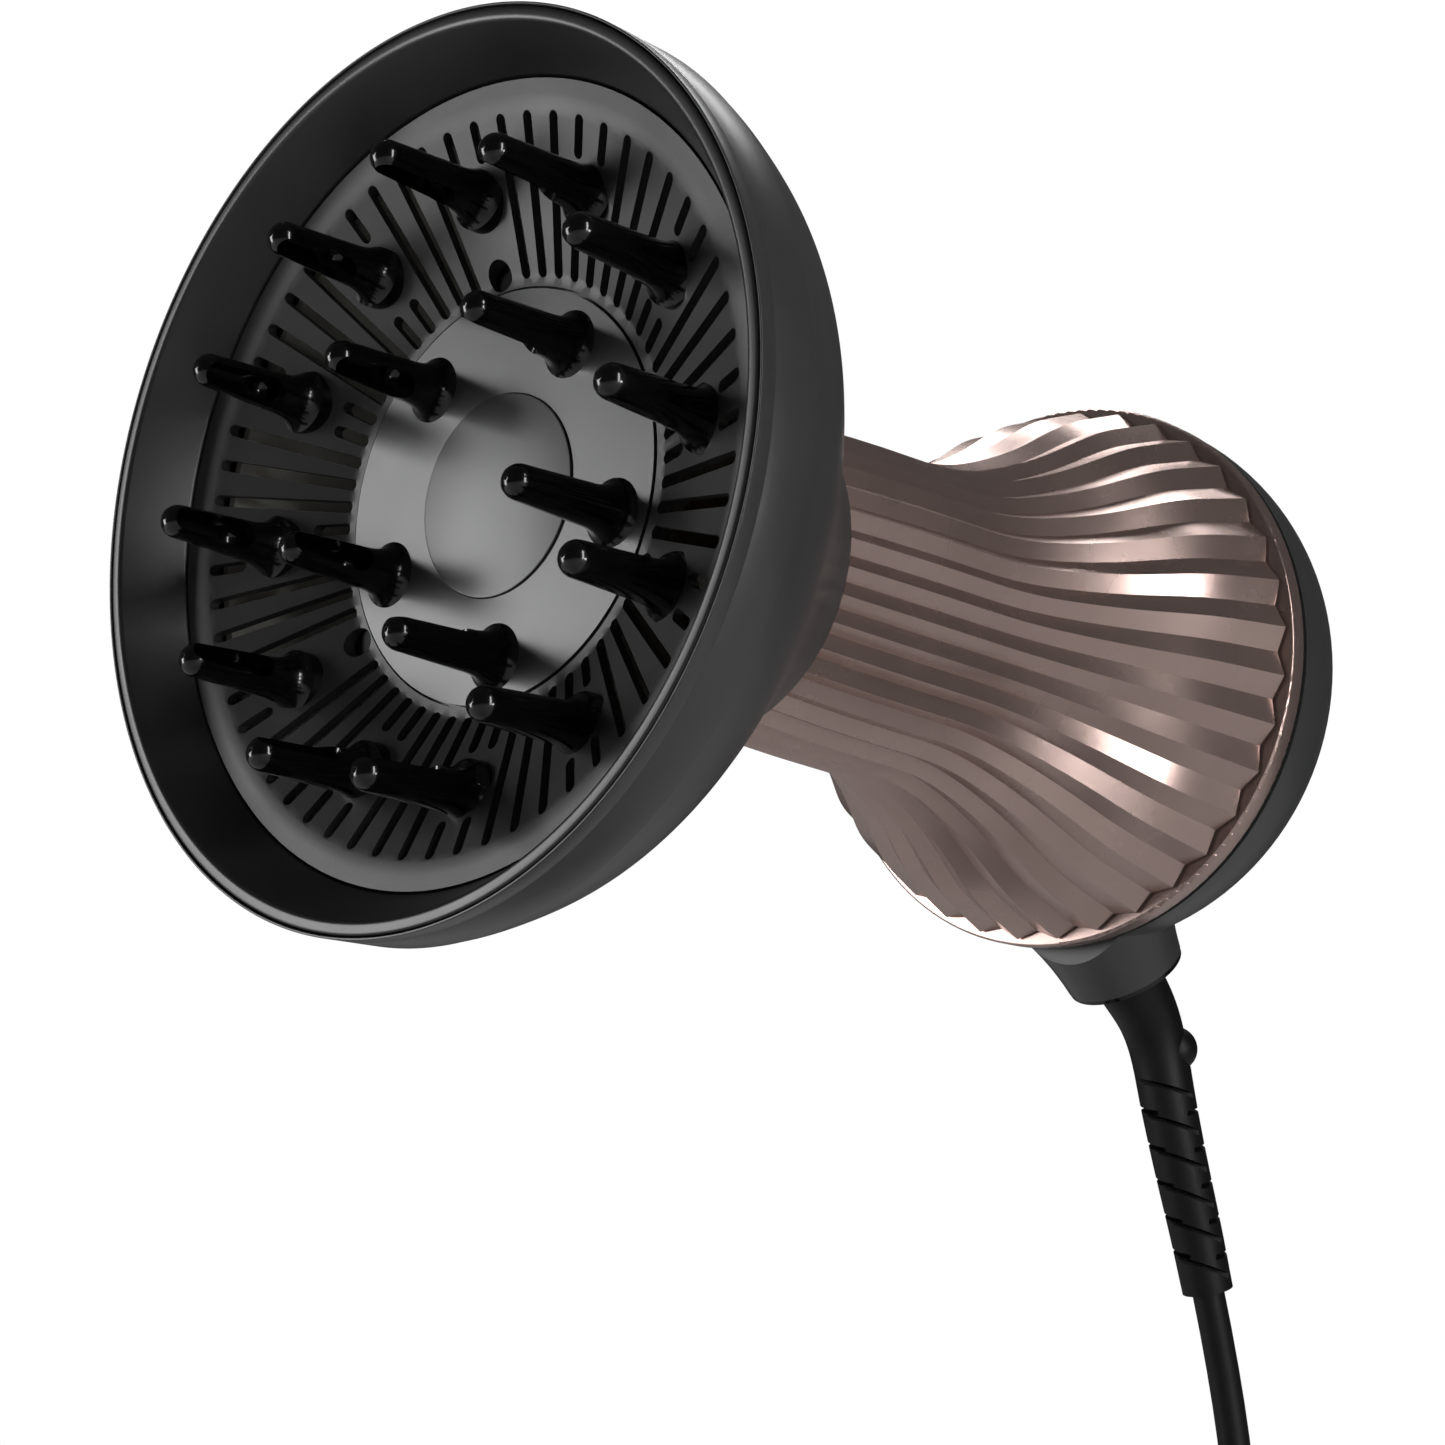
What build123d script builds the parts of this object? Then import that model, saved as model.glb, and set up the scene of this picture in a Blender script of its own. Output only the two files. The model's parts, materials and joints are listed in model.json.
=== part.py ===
from build123d import *
import math
import os

os.makedirs("parts", exist_ok=True)

# A hand-held diffuser hair dryer: a wide slotted bowl with fingers, a pleated body that is
# also the grip, a rear ring with the mains lead, and a filter cap. Millimetres, +Z up.
# The axis of the dryer lies along Y and the air leaves towards -Y. The origin is on that
# axis in the middle of the grip. A depth is measured rearwards from the plane of the rim.
# Angles round the axis are measured from straight down, turning towards -X.

# Head
RIM_R = 81.0
RIM_BAND = 12.0  # length of the straight band behind the rim
HEAD_DEPTH = 80.0  # depth of the shell's rear mouth
GRIP_DEPTH = HEAD_DEPTH + 25.0  # depth of the origin, where the hand closes round the grip
SHELL_WALL = 2.4
SHELL_CURVE = ((0.191, 0.894), (0.346, 0.724), (0.485, 0.543), (0.706, 0.278), (0.853, 0.119))
MOUTH_GAP = 1.0  # dark gap between the shell's mouth and the pleats
LIP_WIDTH = 2.3
LIP_DEPTH = 2.8
LIP_SKIRT = 0.45  # thickness of the shell's front edge outside the lip
PARTING = 0.25  # gap between pieces that are pressed or bonded side by side

# Bowl
BOWL_WALL_DEPTH = 10.8
BOWL_FLOOR_R = RIM_R - 9.0
PLATE_BAND_R = BOWL_FLOOR_R - 5.5
PLATE_BAND_DEPTH = 11.7
HUB_R = 39.7
HUB_DEPTH = 23.3
PLATE_HOLE_R = HUB_R - 1.7
PLATE_T = 2.0
SEAT_WIDTH = 3.5  # ledge of the bowl wall that the plate lies on
DISC_R = 18.5
DISC_PROUD = 0.4

# Slots and fingers
SLOT_COUNT = 60
SLOT_W = 2.2
SLOT_END_GAP = 0.4
SPLIT_LENGTH = 7.0  # length left of a slot at each side of a finger's foot
OUTER_FINGERS = 12
OUTER_FINGER_R = PLATE_BAND_R - 12.1
OUTER_PROUD = 7.7  # how far the outer tips stand in front of the rim
INNER_FINGERS = 5
INNER_FINGER_R = 29.4
INNER_PROUD = 1.8
TIP_R = 3.1
SHANK_R = 3.75
SHANK_LENGTH = 18.0  # from the tip to the end of the opening
FOOT_R = 6.1
FINGER_WALL = 1.0
AIR_HOLE_R = 1.6
SPIGOT_R = 3.0
SPIGOT_PROUD = 1.5
FIT = 0.1

# Screws in the bowl plate
PLATE_SCREW_R = HUB_R + 1.3
PLATE_SCREW_ANGLES = (60, 180, 300)
SCREW_HEAD_R = 2.5
SCREW_HEAD_T = 1.8
SCREW_R = 1.5
SCREW_LENGTH = 11.0
HEAD_CLEARANCE = 0.3
SCREW_CLEARANCE = 0.2
PILOT_CLEARANCE = 0.05
BOSS_WALL = 1.2
BOSS_DEPTH = HUB_DEPTH + 4.7

# Pleated body
PLEATS = 36
PLEAT_DEPTH = 2.0
NECK_R = 30.5  # ridge radius where the body leaves the head
GRIP_R = 32.9  # ridge radius at the end of the straight grip
GRIP_LENGTH = 40.0
FLARE_LENGTH = 72.0
GRIP_END = HEAD_DEPTH + GRIP_LENGTH
BODY_END = GRIP_END + FLARE_LENGTH
BULB_R = 59.2  # ridge radius at the rear end
FLARE = ((0.25, 0.053), (0.417, 0.202), (0.583, 0.434), (0.778, 0.764))
BODY_WALL = 1.8
BODY_SECTIONS = 15

# Rear
FOLD_GAP = 0.8  # dark gap behind the folds' zigzag ends
ACCENT_START = BODY_END + FOLD_GAP
ACCENT_W = 4.6
ACCENT_END = ACCENT_START + ACCENT_W
ACCENT_R = BULB_R + 1.3
GASKET_R = BULB_R - 1.7
GASKET_T = 1.2
RING_START = ACCENT_END + GASKET_T
RING_R = BULB_R + 1.1
DOME_LENGTH = 36.0
DOME_RISE = 30.0  # the dome's quarter ellipse: this much of the radius
RING_WALL = 2.4
SPIGOT_WALL = 2.0
SPIGOT_START = BODY_END - 5.0
INLET_R = RING_R - 10.8
CAP_GAP = 0.3
CAP_WALL = 2.2
CAP_SKIRT_START = RING_START + 20.9
GRILLE_SLOTS = 36
GRILLE_W = 2.4
GRILLE_BANDS = ((INLET_R - 23.5, INLET_R - 5.5, 1), (9.0, 21.0, 2))  # radii, and one slot in how many
FILTER_DEPTH = CAP_SKIRT_START + 3.1
FILTER_RIM_W = 2.8
FILTER_RIM_T = 2.0
FILTER_T = 0.6

# Fan, motor and heater
LEDGE_DEPTH = RING_START + 15.4
LEDGE_T = 2.5
FAN_R = INLET_R - 7.5
FAN_WALL = 1.6
FAN_STRAIGHT = BODY_END - 2.0  # where the fan tube starts to narrow
FAN_NECK_END = GRIP_END + 26.0
FAN_NECK_START = GRIP_END + 32.0
FLANGE_R = INLET_R + 0.5
HOUSING_SCREW_R = INLET_R - 3.1
HOUSING_SCREW_ANGLES = (60, 180, 300)
MOTOR_R = 14.8
MOTOR_END = BODY_END - 8.0
MOTOR_START = MOTOR_END - 23.8
CUP_GAP = 0.2
CUP_WALL = 1.5
VANES = 6
VANE_T = 1.4
VANE_START = MOTOR_START + 5.8
VANE_END = MOTOR_END
SHAFT_R = 1.6
SHAFT_START = MOTOR_START + 2.8
SHAFT_CLEARANCE = 0.05
MOTOR_SCREW_SPREAD = 8.0
MOTOR_SCREW_R = 1.2
MOTOR_SCREW_HEAD_R = 2.2
IMPELLER_START = BODY_END - 3.0
IMPELLER_END = IMPELLER_START + 14.0
IMPELLER_HUB_R = 13.0
TIP_CLEARANCE = 1.2
BLADES = 9
BLADE_T = 1.6
BLADE_TILT = 38.0
SLEEVE_R = 22.0
SLEEVE_WALL = 0.8
SLEEVE_START = HEAD_DEPTH + 8.0
SLEEVE_END = GRIP_END + 30.0
BOARD_T = 0.8
MICA_START = HEAD_DEPTH + 14.0
MICA_END = GRIP_END + 24.0
COIL_RADII = (17.0, 11.0)
COIL_ROWS = 8
COIL_PITCH = 5.6
COIL_FIRST = MICA_START + 5.0
COIL_WIRE_R = 0.7

# Controls on top of the grip
PANEL_START = HEAD_DEPTH + 14.0
PANEL_LENGTH = 44.0
PANEL_W = 13.0
PANEL_SUNK = 1.0  # below the ridges of the pleats
PANEL_DEPTH = 6.0
PANEL_SKIN = 1.6
PANEL_RIM = 1.6
SLIDER_L = 13.0
SLIDER_W = 6.4
SLIDER_H = 1.3
SLIDER_LIFT = 0.1
SLIDER_TRAVEL = 8.0
SLIDER_REST = -12.0
STEM_L = 4.0
STEM_W = 2.6
STEM_DEPTH = 3.2
BUTTON_R = 3.4
BUTTON_PLACE = 12.0
BUTTON_PROUD = 0.9
BUTTON_TRAVEL = 1.5
BUTTON_FLANGE = 0.8
RUNNING = 0.2

# Collar, strain relief and cord
COLLAR_END = (RING_START + 19.4, -RING_R - 2.5)  # depth and height of the centre of the collar's end
COLLAR_LEAN = 39.5
COLLAR_R = 13.4
COLLAR_ROOT_R = 19.0
COLLAR_LENGTH = 20.0
COLLAR_BORE_R = 11.6
CAP_PLATE_R = 13.2
CAP_PLATE_T = 1.0
CAP_PLUG_LENGTH = 3.0
RELIEF_NECK_R = 6.2
RELIEF_TOP_R = 8.0
RELIEF_MID_R = 6.3
RELIEF_END_R = 5.7
RELIEF_ROUTE = ((9.8, -10.7), (15.9, -27.2), (22.6, -48.0), (29.9, -69.7))  # from the collar's end
RELIEF_END_LEAN = 17.6
RELIEF_ANCHOR_R = 9.0
RELIEF_ANCHOR_T = 2.4
GROOVES = 5
GROOVE_PITCH = 8.2
GROOVE_W = 1.1
GROOVE_DEPTH = 3.0
GROOVE_LAST = 9.0  # from the last groove to the relief's end
GROOVE_TURN = 41.0  # the grooves' sides, turned about the relief's axis
STUD_R = 5.0
STUD_PROUD = 2.3
STUD_PLACE = 0.27  # along the relief
CORD_D = 7.3
FLOOR_Z = -250.0
CORD_ROUTE = (
    (0.0, 142.9, -132.5),
    (0.0, 154.6, -169.4),
    (0.0, 151.2, -208.3),
    (0.0, 132.3, -235.3),
    (0.0, 108.6, -246.35),
    (7.0, 83.0, -246.35),
    (16.5, 61.0, -246.35),
    (18.5, 43.0, -246.35),
)
COIL_CENTRE = (-29.0, 45.0)
COIL_R = 40.2  # at the middle of the turns
TURN_LIFT = 7.35
TIE_T = 0.9
TIE_W = 10.0
TAIL_ROUTE = (
    (11.2, 45.0, -230.75),
    (11.4, 13.0, -231.5),
    (14.0, -13.0, -240.0),
    (14.0, -39.0, -240.0),
)
PLUG_W = 36.0
PLUG_T = 20.0
PLUG_LENGTH = 32.0
PLUG_SLEEVE = 18.0
PLUG_SLEEVE_R = 6.0
PIN_R = 2.4
PIN_LENGTH = 19.0
PIN_SPACING = 19.0
PIN_ROOT = 4.0
PIN_ROOT_R = 1.6


def at(depth):
    """Place along Y of a depth behind the rim."""
    return depth - GRIP_DEPTH


def turned(*outline):
    """A ring or disc: an outline of (radius, depth) corners turned about the axis."""
    corners = [(radius, at(depth)) for radius, depth in outline]
    return revolve(make_face(Polyline(*corners, close=True)), Axis.Y)


def rod(radius, start, end):
    """A round bar on the axis between two depths."""
    return turned((0, start), (radius, start), (radius, end), (0, end))


def lying(sketch, start, end):
    """A prism along the axis, of a sketch drawn with X across and Z up."""
    return extrude(Plane.XZ.offset(-at(start)) * sketch, start - end)


def round_axis(shape, angle):
    """A shape made straight below the axis, turned round it."""
    return Rot(0, angle, 0) * shape


def ring_of(shape, angles):
    """Copies of a shape made straight below the axis, one at each angle."""
    return [round_axis(shape, angle) for angle in angles]


def below(radius, shape):
    """A shape made on the axis, moved straight down by a radius."""
    return Pos(0, 0, -radius) * shape


def inside(curve, wall, count=11):
    """Points a wall's thickness to the inner side of a (radius, Y) curve."""
    points = []
    for step in range(count):
        along = curve % (step / (count - 1))
        points.append(curve @ (step / (count - 1)) + Vector(-along.Y, along.X) * wall)
    return points


def write(name, shape):
    """One STEP file for one node; a list becomes a group of separate solids."""
    solids = shape if isinstance(shape, list) else [shape]
    solids = [solid for item in solids for solid in item.solids()]
    export_step(solids[0] if len(solids) == 1 else Compound(children=solids), f"parts/{name}.step")


# The head: a spun-looking outer shell, and a bowl wall whose lip fills its front edge.

MOUTH_R = NECK_R + MOUTH_GAP + SHELL_WALL


def flared(front_r, front, rear_r, rear):
    """The head's flare as a smooth curve between two radii and two depths."""
    points = [(front_r, at(front))]
    for along, out in SHELL_CURVE:
        points.append((rear_r + out * (front_r - rear_r), at(front + along * (rear - front))))
    points.append((rear_r, at(rear)))
    return points


def head_shell():
    """The satin outer shell, with a rebate for the lip and a rib that grips the air guide."""
    curve = Spline(*flared(RIM_R, RIM_BAND, MOUTH_R, HEAD_DEPTH), tangents=((0, 1), (-0.7, 1)))
    inner = Spline(*inside(curve, SHELL_WALL))
    bore = RIM_R - SHELL_WALL
    rebate = RIM_R - LIP_SKIRT
    front = Polyline(
        inner @ 0, (bore, at(LIP_DEPTH)), (rebate, at(LIP_DEPTH)), (rebate, at(0)),
        (RIM_R - LIP_SKIRT / 3, at(0)), (RIM_R, at(LIP_SKIRT)), curve @ 0,
    )
    shell = revolve(make_face([curve, inner, front, Line(curve @ 1, inner @ 1)]), Axis.Y)
    solid = revolve(
        make_face([curve, Polyline(curve @ 1, (0, at(HEAD_DEPTH)), (0, at(RIM_BAND)), curve @ 0)]),
        Axis.Y,
    )
    guide = guide_solid(GUIDE_WALL + FIT)
    rib = (rod(RIM_R, RIB_START, RIB_START + RIB_T) & solid) - guide
    return shell + rib


RIB_START = HEAD_DEPTH - 14.0
RIB_T = 2.0
GUIDE_WALL = 1.6
GUIDE_FRONT_R = PLATE_BAND_R
GUIDE_FRONT = PLATE_BAND_DEPTH + 4.7
GUIDE_TUBE_R = SLEEVE_R + FIT
GUIDE_TUBE_START = HEAD_DEPTH - 2.0
GUIDE_TUBE_END = HEAD_DEPTH + 18.0
GUIDE_FLANGE = HEAD_DEPTH + 4.0


def guide_solid(grown):
    """The air guide's inner space, grown outwards by a thickness."""
    curve = Spline(*flared(GUIDE_FRONT_R, GUIDE_FRONT, GUIDE_TUBE_R, GUIDE_TUBE_START))
    outer = Spline(*inside(curve, -grown)) if grown else curve
    start, end = outer @ 0, outer @ 1
    tube_r = GUIDE_TUBE_R + grown
    edge = Polyline(
        end, (tube_r, at(GUIDE_TUBE_START) + grown + RIB_T), (tube_r, at(GUIDE_TUBE_END)),
        (0, at(GUIDE_TUBE_END)), (0, start.Y), start,
    )
    return revolve(make_face([outer, edge]), Axis.Y)


def air_guide():
    """The hot-air funnel from the heater to the plate, with three screw posts."""
    whole = guide_solid(GUIDE_WALL)
    post = below(PLATE_SCREW_R, rod(SCREW_R + BOSS_WALL, BOSS_DEPTH, HEAD_DEPTH)) & whole
    pilot = below(PLATE_SCREW_R, rod(SCREW_R + PILOT_CLEARANCE, BOSS_DEPTH, BOSS_DEPTH + SCREW_LENGTH))
    flange_r = NECK_R - PLEAT_DEPTH - BODY_WALL - FIT
    flange = turned(
        (GUIDE_TUBE_R, GUIDE_FLANGE), (flange_r, GUIDE_FLANGE),
        (flange_r, GUIDE_FLANGE + RIB_T), (GUIDE_TUBE_R, GUIDE_FLANGE + RIB_T),
    )
    guide = whole - guide_solid(0) + ring_of(post, PLATE_SCREW_ANGLES) + flange
    return guide - ring_of(pilot, PLATE_SCREW_ANGLES)


def bowl_liner():
    """The bowl's smooth wall with the rounded lip, and the ledge that the plate lies on."""
    lip_out = RIM_R - LIP_SKIRT - PARTING
    lip_in = lip_out - LIP_WIDTH
    ledge = PLATE_BAND_DEPTH + PLATE_T
    wall = SHELL_WALL - 2 * PARTING
    foot = BOWL_FLOOR_R + wall
    corners = [
        (lip_in, 0), (BOWL_FLOOR_R, BOWL_WALL_DEPTH), (BOWL_FLOOR_R, ledge),
        (BOWL_FLOOR_R - SEAT_WIDTH, ledge), (BOWL_FLOOR_R - SEAT_WIDTH, ledge + wall),
        (foot, ledge + wall), (foot + PARTING, BOWL_WALL_DEPTH),
        (RIM_R - SHELL_WALL - PARTING, LIP_DEPTH), (lip_out, LIP_DEPTH), (lip_out, 0),
    ]
    face = make_face(Polyline(*[(radius, at(depth)) for radius, depth in corners], close=True))
    front = face.vertices().group_by(Axis.Y)[0]
    return revolve(fillet(front, LIP_WIDTH / 3), Axis.Y)


# The slotted plate, its fingers and the dish in its middle.


def plate_front(radius):
    """Depth of the plate's sloping front at a radius."""
    slope = (HUB_DEPTH - PLATE_BAND_DEPTH) / (PLATE_BAND_R - HUB_R)
    return HUB_DEPTH - (radius - HUB_R) * slope


def plate_blank(thickness):
    """The sloping plate without slots, of any thickness along the axis."""
    edge = BOWL_FLOOR_R - 2 * PARTING
    return turned(
        (edge, PLATE_BAND_DEPTH - 0.7), (PLATE_BAND_R, PLATE_BAND_DEPTH), (HUB_R, HUB_DEPTH),
        (PLATE_HOLE_R, HUB_DEPTH), (PLATE_HOLE_R, HUB_DEPTH + thickness),
        (HUB_R, HUB_DEPTH + thickness), (PLATE_BAND_R, PLATE_BAND_DEPTH + thickness),
        (edge, PLATE_BAND_DEPTH + thickness),
    )


def slot(inner_r, outer_r):
    """One straight slot with round ends, cut right through, straight below the axis."""
    middle = Pos(0, -(inner_r + outer_r) / 2)
    shape = middle * SlotOverall(outer_r - inner_r, SLOT_W, rotation=90)
    return lying(shape, 0, BOSS_DEPTH)


def slot_cuts():
    """Every slot: whole between the fingers, and split beside each outer finger."""
    inner_r = HUB_R - SLOT_END_GAP / 2
    outer_r = PLATE_BAND_R - SLOT_END_GAP
    whole = slot(inner_r, outer_r)
    outer_part = slot(outer_r - SPLIT_LENGTH, outer_r)
    inner_part = slot(inner_r, inner_r + SPLIT_LENGTH)
    step = 360 / SLOT_COUNT
    finger_step = 360 / OUTER_FINGERS
    cuts = []
    for index in range(SLOT_COUNT):
        angle = step * (index + 0.5)
        nearest = finger_step * round(angle / finger_step)
        if abs(angle - nearest) > step:
            cuts.append(round_axis(whole, angle))
            continue
        cuts.append(round_axis(outer_part, angle))
        if nearest % 360 not in PLATE_SCREW_ANGLES:
            cuts.append(round_axis(inner_part, angle))
    return cuts


def slot_plate():
    """The sloping plate with its slots, finger holes and three screw bosses."""
    boss_r = SCREW_HEAD_R + HEAD_CLEARANCE + BOSS_WALL
    seat = BOSS_DEPTH - PLATE_T
    boss = below(PLATE_SCREW_R, rod(boss_r, HUB_DEPTH, BOSS_DEPTH)) - rod(HUB_R + PARTING, 0, BOSS_DEPTH)
    well = below(PLATE_SCREW_R, rod(SCREW_HEAD_R + HEAD_CLEARANCE, 0, seat))
    hole = below(PLATE_SCREW_R, rod(SCREW_R + SCREW_CLEARANCE, 0, BOSS_DEPTH))
    seat_hole = below(OUTER_FINGER_R, rod(SPIGOT_R + FIT / 2, 0, BOSS_DEPTH))
    plate = plate_blank(PLATE_T) - slot_cuts() + ring_of(boss, PLATE_SCREW_ANGLES)
    plate = plate - ring_of(well, PLATE_SCREW_ANGLES) - ring_of(hole, PLATE_SCREW_ANGLES)
    return plate - ring_of(seat_hole, finger_angles(OUTER_FINGERS))


def finger_angles(count):
    """Even angles round the axis, the first straight down."""
    return [360 / count * index for index in range(count)]


def finger(tip, seat, radius):
    """A hollow finger from its tip to its seat, open on the side that faces the axis."""
    end = seat + PLATE_T + SPIGOT_PROUD
    bend = TIP_R * math.sin(math.radians(45))
    shank = tip + SHANK_LENGTH
    outline = [
        ThreePointArc((0, at(tip)), (bend, at(tip + TIP_R - bend)), (TIP_R, at(tip + TIP_R))),
        Line((TIP_R, at(tip + TIP_R)), (SHANK_R, at(shank))),
        Spline(
            (SHANK_R, at(shank)), (FOOT_R, at(seat)),
            tangents=((0, 1), (1, 0.6)), tangent_scalars=(1.2, 0.8),
        ),
        Polyline((FOOT_R, at(seat)), (FOOT_R, at(end)), (0, at(end)), (0, at(tip))),
    ]
    body = revolve(make_face(outline), Axis.Y)
    near, far = TIP_R - FINGER_WALL, SHANK_R - FINGER_WALL
    ends = [
        Pos(0, at(tip + TIP_R)) * Circle(near),
        Pos(0, at(shank - far)) * Circle(far),
    ]
    opening = make_hull([edge for end_circle in ends for edge in end_circle.edges()])
    channel = revolve(opening & Pos(FOOT_R, at(shank / 2)) * Rectangle(2 * FOOT_R, 4 * shank), Axis.Y)
    mouth = extrude(opening, FOOT_R)
    drill = rod(AIR_HOLE_R, shank - far, end)
    return below(radius, body - channel - mouth - drill)


def seated(shape, radius, seat_blank, end):
    """A finger cut off at the face that it stands on, with a hollow spigot through it."""
    spigot = rod(SPIGOT_R, 0, end) - rod(AIR_HOLE_R, 0, end)
    return (shape - seat_blank) + (below(radius, spigot) & seat_blank & shape)


def outer_fingers():
    """Twelve fingers standing on the sloping plate."""
    seat = plate_front(OUTER_FINGER_R)
    blank = plate_blank(PLATE_T + 2 * FOOT_R)
    one = seated(finger(-OUTER_PROUD, seat, OUTER_FINGER_R), OUTER_FINGER_R, blank, BOSS_DEPTH)
    return ring_of(one, finger_angles(OUTER_FINGERS))


DISH_R = PLATE_HOLE_R - 2 * PARTING
DISH_DEPTH = HUB_DEPTH - 0.3


def inner_fingers():
    """Five fingers standing on the dish."""
    blank = rod(PLATE_HOLE_R, DISH_DEPTH, BOSS_DEPTH)
    one = seated(finger(-INNER_PROUD, DISH_DEPTH, INNER_FINGER_R), INNER_FINGER_R, blank, BOSS_DEPTH)
    return ring_of(one, finger_angles(INNER_FINGERS))


def centre_dish():
    """The smooth dish, held behind the plate by its flange, with a recess for the disc."""
    back = HUB_DEPTH + PLATE_T
    flange_r = HUB_R - SLOT_END_GAP
    dish = turned(
        (0, DISH_DEPTH), (DISH_R, DISH_DEPTH), (DISH_R, back), (flange_r, back),
        (flange_r, back + PLATE_T), (DISH_R - PLATE_T, back + PLATE_T),
        (DISH_R - PLATE_T, DISH_DEPTH + PLATE_T), (0, DISH_DEPTH + PLATE_T),
    )
    hole = below(INNER_FINGER_R, rod(SPIGOT_R + FIT / 2, 0, BOSS_DEPTH))
    boss_r = SCREW_HEAD_R + HEAD_CLEARANCE + BOSS_WALL + PARTING
    boss = below(PLATE_SCREW_R, rod(boss_r, back, BOSS_DEPTH))
    recess = rod(DISC_R + FIT, 0, DISH_DEPTH + PLATE_T / 2)
    cuts = ring_of(hole, finger_angles(INNER_FINGERS)) + ring_of(boss, PLATE_SCREW_ANGLES)
    return dish - cuts - recess


def centre_disc():
    """The thin round cover pressed into the middle of the dish."""
    return rod(DISC_R, DISH_DEPTH - DISC_PROUD, DISH_DEPTH + PLATE_T / 2)


def screw(head_r, head_t, shank_r, head_depth, length):
    """A pan-head screw on the axis, its head in front and its shank going rearwards."""
    return rod(head_r, head_depth - head_t, head_depth) + rod(shank_r, head_depth, head_depth + length)


def plate_screws():
    """Three screws that hold the plate to the air guide's posts."""
    one = screw(SCREW_HEAD_R, SCREW_HEAD_T, SCREW_R, BOSS_DEPTH - PLATE_T, SCREW_LENGTH)
    return ring_of(below(PLATE_SCREW_R, one), PLATE_SCREW_ANGLES)


# The pleated body: straight folds along a waisted profile.


def ridge_points():
    """The profile of the pleats' ridges as (radius, Y) points, front to rear."""
    points = [(NECK_R, at(HEAD_DEPTH)), (GRIP_R, at(GRIP_END))]
    for along, out in FLARE:
        depth = GRIP_END + along * (BODY_END - GRIP_END)
        points.append((GRIP_R + out * (BULB_R - GRIP_R), at(depth)))
    return points + [(BULB_R, at(BODY_END))]


RIDGE = Spline(*ridge_points(), tangents=((0.09, 1), (0.42, 1)))


def ridge_radius(depth):
    """Radius of the ridges at a depth, found by halving."""
    low, high = 0.0, 1.0
    for _ in range(30):
        middle = (low + high) / 2
        if (RIDGE @ middle).Y < at(depth):
            low = middle
        else:
            high = middle
    return (RIDGE @ low).X


SPIGOT_OUT_R = ridge_radius(SPIGOT_START) - 1.1 * (PLEAT_DEPTH + BODY_WALL) - PARTING


def fold_section(place):
    """The zigzag outline of the body at one place of its profile."""
    corners = []
    for index in range(2 * PLEATS):
        turn = math.pi * index / PLEATS
        radius = place.X - (PLEAT_DEPTH if index % 2 else 0)
        corners.append((-radius * math.sin(turn), place.Y, -radius * math.cos(turn)))
    return make_face(Polyline(*corners, close=True))


def pleated_body():
    """The rose-gold body shell with its window for the control panel."""
    sections = [fold_section(RIDGE @ (i / (BODY_SECTIONS - 1))) for i in range(BODY_SECTIONS)]
    core = inside(RIDGE, PLEAT_DEPTH + BODY_WALL)
    core[0] = Vector(NECK_R - PLEAT_DEPTH - BODY_WALL, at(HEAD_DEPTH))
    core[-1] = Vector(BULB_R - PLEAT_DEPTH - BODY_WALL, at(BODY_END))
    hollow = make_face([Spline(*core), Polyline(core[-1], (0, core[-1].Y), (0, core[0].Y), core[0])])
    window = SlotOverall(PANEL_LENGTH + 2 * PARTING, PANEL_W + 2 * PARTING, rotation=90)
    opening = CONTROL_PLACE * Pos(0, 0, -PANEL_DEPTH) * extrude(window, 2 * PANEL_DEPTH)
    return loft(sections) - revolve(hollow, Axis.Y) - opening


# The rear: accent ring, gasket, domed ring with the lead's collar, and the filter cap.


def dome_angle(radius, thinner):
    """Where the dome's ellipse, thinned by a wall, passes a radius (degrees)."""
    return math.degrees(math.acos((radius - RING_R + DOME_RISE) / (DOME_RISE - thinner)))


def dome_arc(thinner, start, end):
    """A stretch of the dome's ellipse, thinned by a wall, between two angles."""
    centre = (RING_R - DOME_RISE, at(RING_START))
    return EllipticalCenterArc(
        centre, DOME_RISE - thinner, DOME_LENGTH - thinner, start, arc_size=end - start
    )


def accent_ring():
    """The rose-gold ring behind the pleats."""
    inner = SPIGOT_OUT_R + FIT
    face = make_face(Polyline(
        (inner, at(ACCENT_START)), (ACCENT_R, at(ACCENT_START)),
        (ACCENT_R, at(ACCENT_END)), (inner, at(ACCENT_END)), close=True,
    ))
    return revolve(fillet(face.vertices().group_by(Axis.X)[-1], 0.6), Axis.Y)


def gasket_ring():
    """The black gasket between the accent ring and the rear ring."""
    inner = SPIGOT_OUT_R + FIT
    return turned((inner, ACCENT_END), (GASKET_R, ACCENT_END), (GASKET_R, RING_START), (inner, RING_START))


def along_collar(distance):
    """A plane across the collar's axis, a distance beyond its end, facing outwards."""
    lean = math.radians(COLLAR_LEAN)
    way = Vector(0, math.sin(lean), -math.cos(lean))
    end = Vector(0, at(COLLAR_END[0]), COLLAR_END[1])
    return Plane(origin=end + way * distance, x_dir=(1, 0, 0), z_dir=way)


def collar_disc(radius, start, end):
    """A round bar on the collar's axis between two distances from its end."""
    return extrude(along_collar(start) * Circle(radius), end - start)


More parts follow.
